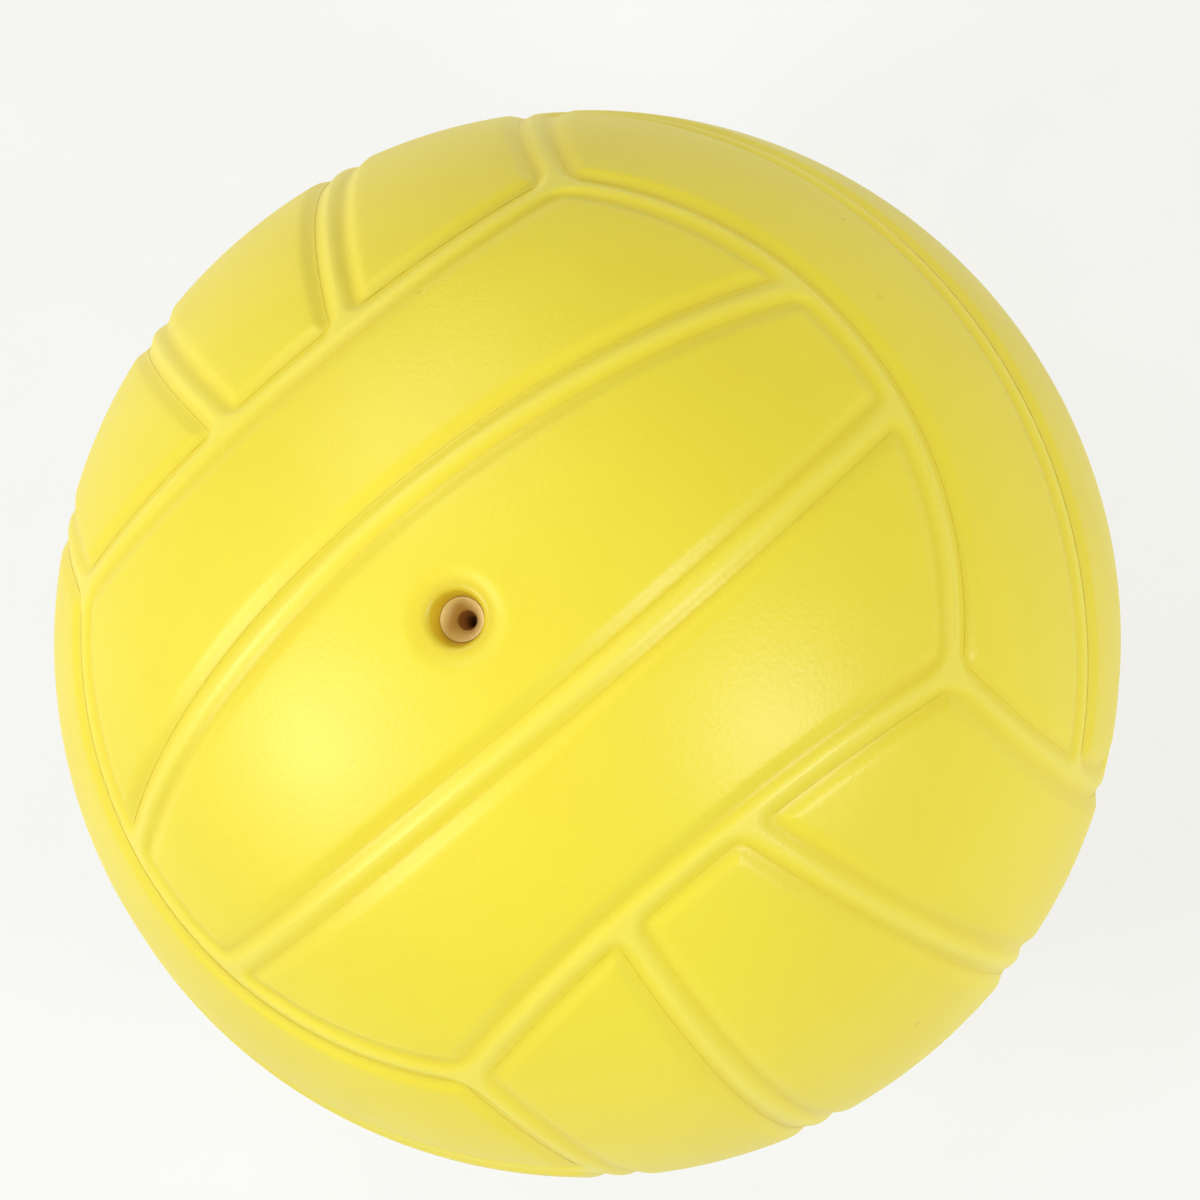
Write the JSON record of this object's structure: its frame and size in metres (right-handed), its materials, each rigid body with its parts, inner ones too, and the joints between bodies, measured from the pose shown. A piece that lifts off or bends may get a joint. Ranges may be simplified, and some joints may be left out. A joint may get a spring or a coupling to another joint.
{
  "type": "water polo ball",
  "caption": "Hollow rubber water polo ball: rolled-edge cover panels between raised seam ribs over a wound bladder, with a recessed needle valve and a pull-out plug.",
  "frame": {"origin": "centre of the ball", "axes": "+Z out through the valve, +X along the strips of the valve's face, +Y across them"},
  "size_m": [0.22, 0.22, 0.2196],
  "materials": {
    "cover_rubber": "satin",
    "rib_rubber": "satin",
    "nylon_yarn": "matte",
    "butyl_rubber": "matte",
    "housing_rubber": "matte",
    "plug_rubber": "satin"
  },
  "bodies": {
    "ball": {"panel_top_front": "cover_rubber", "panel_top_valve": "cover_rubber", "panel_top_back": "cover_rubber", "panel_right_lower": "cover_rubber", "panel_right_middle": "cover_rubber", "panel_right_upper": "cover_rubber", "panel_back_left": "cover_rubber", "panel_back_middle": "cover_rubber", "panel_back_right": "cover_rubber", "panel_bottom_front": "cover_rubber", "panel_bottom_middle": "cover_rubber", "panel_bottom_back": "cover_rubber", "panel_left_lower": "cover_rubber", "panel_left_middle": "cover_rubber", "panel_left_upper": "cover_rubber", "panel_front_left": "cover_rubber", "panel_front_middle": "cover_rubber", "panel_front_right": "cover_rubber", "carcass": "rib_rubber", "winding": "nylon_yarn", "bladder": "butyl_rubber", "valve_housing": "housing_rubber"},
    "plug": {"valve_plug": "plug_rubber"}
  },
  "joints": [
    {"name": "valve_plug_pull", "type": "slide", "parent": "ball", "child": "plug", "axis": [0, 0, 1], "range_m": [0, 0.025]}
  ]
}
